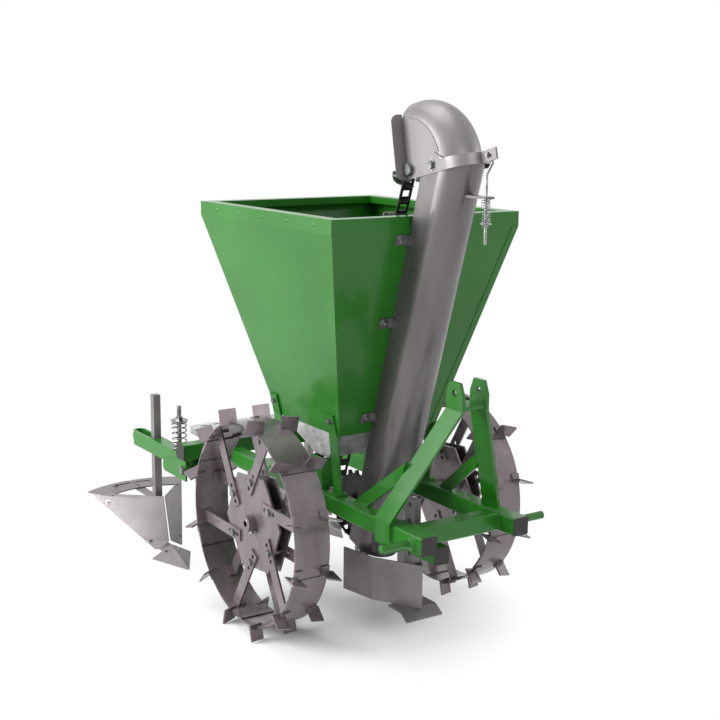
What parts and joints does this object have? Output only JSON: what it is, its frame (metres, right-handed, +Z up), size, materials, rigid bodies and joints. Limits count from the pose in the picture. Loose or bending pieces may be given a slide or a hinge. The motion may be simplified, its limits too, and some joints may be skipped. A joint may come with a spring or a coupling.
{
  "type": "potato planter",
  "caption": "Tractor-mounted single-row potato planter: a hopper feeds a cup chain and planting tube over a furrow opener, with lugged drive wheels and sprung ridging bodies.",
  "frame": {"origin": "on the ground under the middle of the machine's overall length and width", "axes": "+Z up, +Y towards the rear of the machine, +X to its left"},
  "size_m": [0.9608, 1.6184, 1.5249],
  "materials": {
    "green_paint": "gloss",
    "grey_paint": "satin",
    "bare_steel": "satin",
    "galvanised": "satin",
    "zinc": "bright",
    "chain_steel": "matt",
    "black_plastic": "matt"
  },
  "bodies": {
    "frame": {"frame_beam_right": "green_paint", "frame_beam_left": "green_paint", "front_cross_beam": "green_paint", "opener_cross_tube": "green_paint", "rear_beam": "green_paint", "opener_socket": "green_paint", "hitch_pin_right": "green_paint", "hitch_pin_left": "green_paint", "tower_bar_right": "green_paint", "tower_bar_left": "green_paint", "tower_spacer": "green_paint", "tower_braces": "green_paint", "hopper_side_right": "green_paint", "hopper_rear": "green_paint", "hopper_side_left": "green_paint", "hopper_front": "green_paint", "hopper_rim": "green_paint", "hopper_legs_right": "green_paint", "hopper_legs_left": "green_paint", "pan_posts": "green_paint", "hiller_brackets": "green_paint", "tube_end_caps": "black_plastic", "pivot_bolts": "zinc", "hiller_spring_rods": "zinc", "tension_spring": "zinc", "hiller_spring_right": "zinc", "hiller_spring_left": "zinc", "tube_clips": "zinc", "feed_pan": "galvanised", "step_plate": "galvanised", "planting_tube": "grey_paint", "tension_bracket": "grey_paint", "axle_bearings": "bare_steel", "cup_chain": "chain_steel", "seed_cups": "chain_steel"},
    "wheels": {"drive_axle": "bare_steel", "drive_sprocket": "chain_steel", "wheel_hubs": "grey_paint", "wheel_spokes": "grey_paint", "wheel_rims": "grey_paint", "wheel_lugs": "grey_paint", "wheel_bolts": "zinc"},
    "hood": {"hood_elbow": "grey_paint", "hood_cheeks": "grey_paint", "sprocket_shaft": "zinc"},
    "top_sprocket": {"top_sprocket": "chain_steel"},
    "tensioner": {"tension_rod": "zinc"},
    "opener": {"opener_shank": "bare_steel", "furrow_opener": "bare_steel", "opener_blade": "bare_steel"},
    "arm_right": {"hiller_arm_right": "green_paint"},
    "arm_left": {"hiller_arm_left": "green_paint"},
    "hiller_right": {"hiller_shank_right": "bare_steel", "hiller_share_right": "bare_steel"},
    "hiller_left": {"hiller_shank_left": "bare_steel", "hiller_share_left": "bare_steel"},
    "wing_right_inner": {"hiller_wing_right_inner": "bare_steel"},
    "wing_right_outer": {"hiller_wing_right_outer": "bare_steel"},
    "wing_left_inner": {"hiller_wing_left_inner": "bare_steel"},
    "wing_left_outer": {"hiller_wing_left_outer": "bare_steel"}
  },
  "joints": [
    {"name": "axle_turn", "type": "hinge", "parent": "frame", "child": "wheels", "pos_m": [0, -0.1905, 0.32544], "axis": [1, 0, 0], "continuous": true},
    {"name": "hood_tilt", "type": "hinge", "parent": "frame", "child": "hood", "pos_m": [0, -0.62437, 1.35894], "axis": [1, 0, 0], "range_deg": [-1.5, 2.5]},
    {"name": "top_sprocket_turn", "type": "hinge", "parent": "hood", "child": "top_sprocket", "pos_m": [0, -0.52937, 1.34294], "axis": [1, 0, 0], "continuous": true},
    {"name": "tension_slide", "type": "slide", "parent": "frame", "child": "tensioner", "axis": [0, 0, 1], "range_m": [-0.007, 0.0043], "deforming": ["tension_spring"]},
    {"name": "opener_depth", "type": "slide", "parent": "frame", "child": "opener", "axis": [0, 0, 1], "range_m": [-0.06, 0.03]},
    {"name": "arm_lift_right", "type": "hinge", "parent": "frame", "child": "arm_right", "pos_m": [-0.302, 0.3195, 0.35294], "axis": [1, 0, 0], "range_deg": [0, 12], "stiffness_Nm_per_rad": 60, "springref_deg": -34.38, "deforming": ["hiller_spring_right"]},
    {"name": "hiller_depth_right", "type": "slide", "parent": "arm_right", "child": "hiller_right", "axis": [0, 0, 1], "range_m": [-0.12, 0.1]},
    {"name": "wing_right_inner_turn", "type": "hinge", "parent": "hiller_right", "child": "wing_right_inner", "pos_m": [-0.302, 0.4865, 0.12], "axis": [0, 0, -1], "range_deg": [0, 10]},
    {"name": "wing_right_outer_turn", "type": "hinge", "parent": "hiller_right", "child": "wing_right_outer", "pos_m": [-0.302, 0.4865, 0.12], "axis": [0, 0, 1], "range_deg": [0, 10]},
    {"name": "arm_lift_left", "type": "hinge", "parent": "frame", "child": "arm_left", "pos_m": [0.302, 0.3195, 0.35294], "axis": [1, 0, 0], "range_deg": [0, 12], "stiffness_Nm_per_rad": 60, "springref_deg": -34.38, "deforming": ["hiller_spring_left"]},
    {"name": "hiller_depth_left", "type": "slide", "parent": "arm_left", "child": "hiller_left", "axis": [0, 0, 1], "range_m": [-0.12, 0.1]},
    {"name": "wing_left_inner_turn", "type": "hinge", "parent": "hiller_left", "child": "wing_left_inner", "pos_m": [0.302, 0.4865, 0.12], "axis": [0, 0, 1], "range_deg": [0, 10]},
    {"name": "wing_left_outer_turn", "type": "hinge", "parent": "hiller_left", "child": "wing_left_outer", "pos_m": [0.302, 0.4865, 0.12], "axis": [0, 0, -1], "range_deg": [0, 10]}
  ],
  "couplings": [
    {"joint": "top_sprocket_turn", "follows": "axle_turn", "ratio": 1.3333},
    {"joint": "tension_slide", "follows": "hood_tilt", "m_per_rad": -0.1527}
  ]
}
